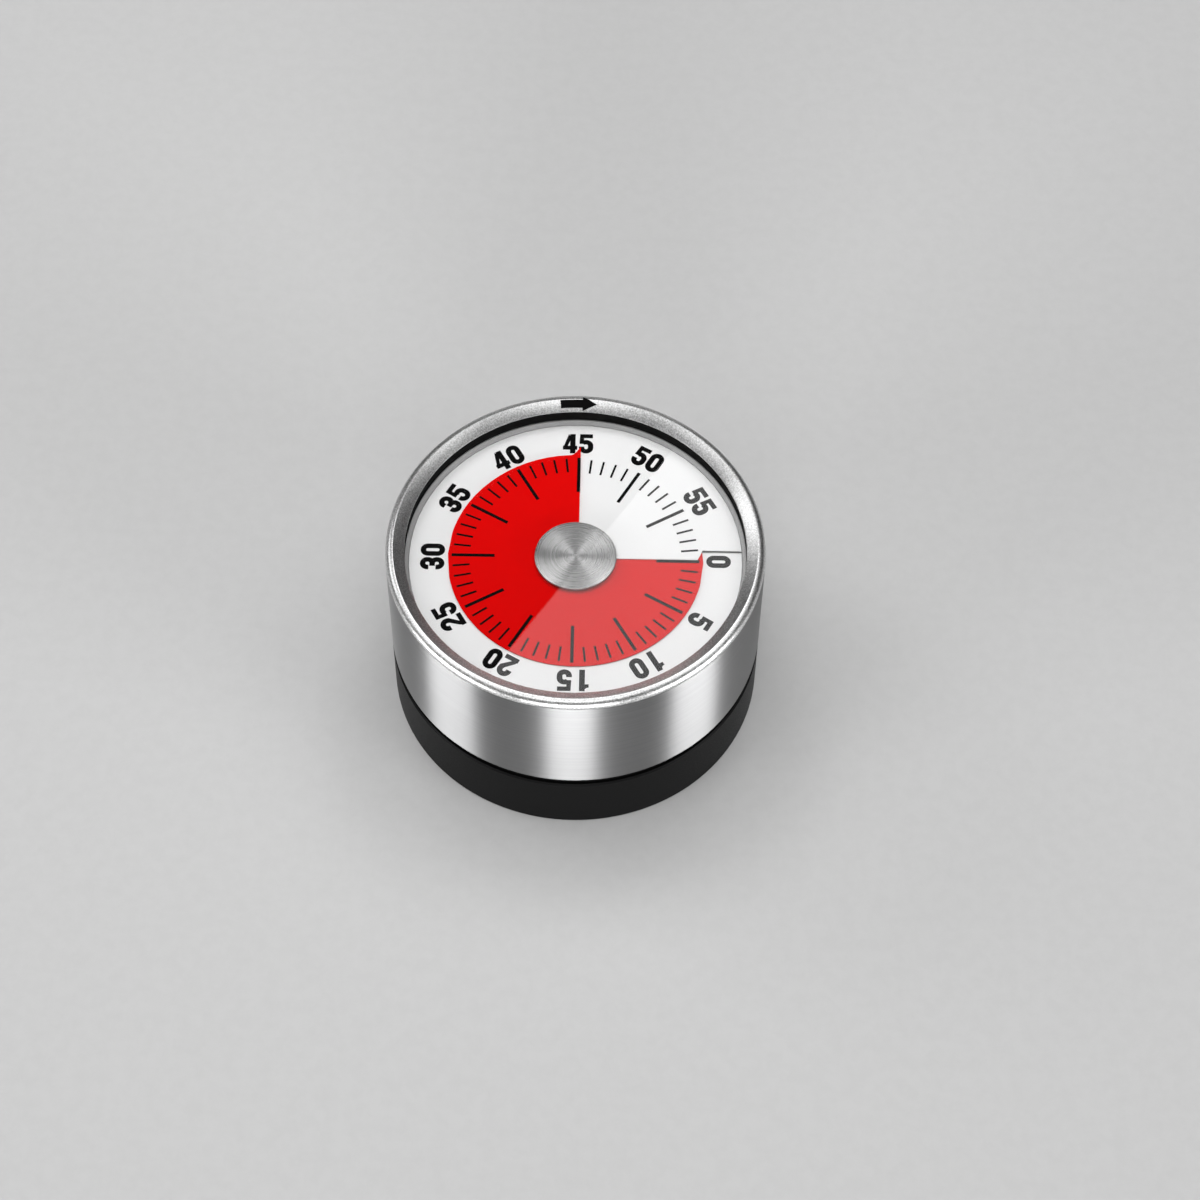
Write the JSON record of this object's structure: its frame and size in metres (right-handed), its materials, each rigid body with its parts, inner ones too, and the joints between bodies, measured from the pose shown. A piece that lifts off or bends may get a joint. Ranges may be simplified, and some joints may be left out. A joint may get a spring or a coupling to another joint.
{
  "type": "mechanical timer",
  "caption": "Round mechanical countdown timer with a turning steel ring over a black magnetic base, a white minute dial behind a clear lens and a red disc that shows the time left.",
  "frame": {"origin": "centre of the flat back face, which the timer lies on", "axes": "+Z out of the dial, +X towards the zero mark, +Y towards the 45 mark"},
  "size_m": [0.08, 0.08, 0.047],
  "materials": {
    "black_base": "satin moulded",
    "black_plastic": "matt moulded",
    "grey_plastic": "satin moulded",
    "white_sheet": "printed sheet",
    "red_sheet": "printed sheet",
    "brushed_steel": "brushed round the axis",
    "satin_steel": "bead blasted with a bright crest",
    "clear_lens": "clear polished",
    "spun_metal": "spun",
    "screw_steel": "zinc plated",
    "magnet": "nickel plated",
    "brass": "stamped",
    "arbor_steel": "turned",
    "spring_steel": "blued",
    "bell_steel": "plated"
  },
  "bodies": {
    "base": {"base_shell": "black_base", "base_screws": "screw_steel", "back_magnets": "magnet", "movement_case": "black_plastic", "glide_ring": "black_plastic", "dial_carrier": "grey_plastic", "carrier_screws": "screw_steel", "dial_plate": "white_sheet", "back_plate": "brass", "front_plate": "brass", "plate_pillars": "arbor_steel", "pillar_screws": "screw_steel", "movement_screws": "screw_steel", "spring_barrel": "brass", "barrel_cover": "brass", "mainspring": "spring_steel", "bell": "bell_steel", "bell_screw": "screw_steel", "hammer_spring": "spring_steel"},
    "ring": {"bezel": "satin_steel", "ring_sleeve": "brushed_steel", "ring_liner": "black_plastic", "lens": "clear_lens", "center_cap": "spun_metal", "drive_hub": "black_plastic", "spindle": "arbor_steel", "main_wheel": "brass", "clutch_washer": "spring_steel", "clutch_collet": "arbor_steel", "alarm_cam": "arbor_steel"},
    "disc": {"red_disc": "red_sheet"},
    "second": {"second_arbor": "arbor_steel", "second_wheel": "brass"},
    "third": {"third_arbor": "arbor_steel", "third_wheel": "brass"},
    "escape": {"escape_arbor": "arbor_steel", "escape_wheel": "brass"},
    "pallet": {"pallet_arbor": "arbor_steel", "pallet_lever": "brass", "pallet_pins": "arbor_steel"},
    "hammer": {"hammer_arbor": "arbor_steel", "hammer_arm": "arbor_steel", "hammer_head": "brass"}
  },
  "joints": [
    {"name": "ring_turn", "type": "hinge", "parent": "base", "child": "ring", "pos_m": [0, 0, 0.017], "axis": [0, 0, 1], "range_deg": [-82, 270]},
    {"name": "disc_climb", "type": "slide", "parent": "ring", "child": "disc", "axis": [0, 0, 1], "range_m": [-0.00053, 0.00017]},
    {"name": "second_turn", "type": "hinge", "parent": "base", "child": "second", "pos_m": [-0.01504, -0.00547, 0.0185], "axis": [0, 0, 1], "continuous": true},
    {"name": "third_turn", "type": "hinge", "parent": "base", "child": "third", "pos_m": [-0.01722, 0.00694, 0.02], "axis": [0, 0, 1], "continuous": true},
    {"name": "escape_turn", "type": "hinge", "parent": "base", "child": "escape", "pos_m": [-0.00959, 0.01457, 0.022], "axis": [0, 0, 1], "continuous": true},
    {"name": "pallet_swing", "type": "hinge", "parent": "base", "child": "pallet", "pos_m": [-0.00622, 0.0204, 0.024], "axis": [0, 0, 1], "range_deg": [-7, 7]},
    {"name": "hammer_swing", "type": "hinge", "parent": "base", "child": "hammer", "pos_m": [0.009, -0.01559, 0.02], "axis": [0, 0, 1], "range_deg": [-10, 2], "stiffness_Nm_per_rad": 0.002, "deforming": ["hammer_spring"]}
  ],
  "couplings": [
    {"joint": "disc_climb", "follows": "ring_turn", "m_per_rad": -0.00011141},
    {"joint": "second_turn", "follows": "ring_turn", "ratio": -9},
    {"joint": "third_turn", "follows": "ring_turn", "ratio": 72},
    {"joint": "escape_turn", "follows": "ring_turn", "ratio": -576}
  ]
}
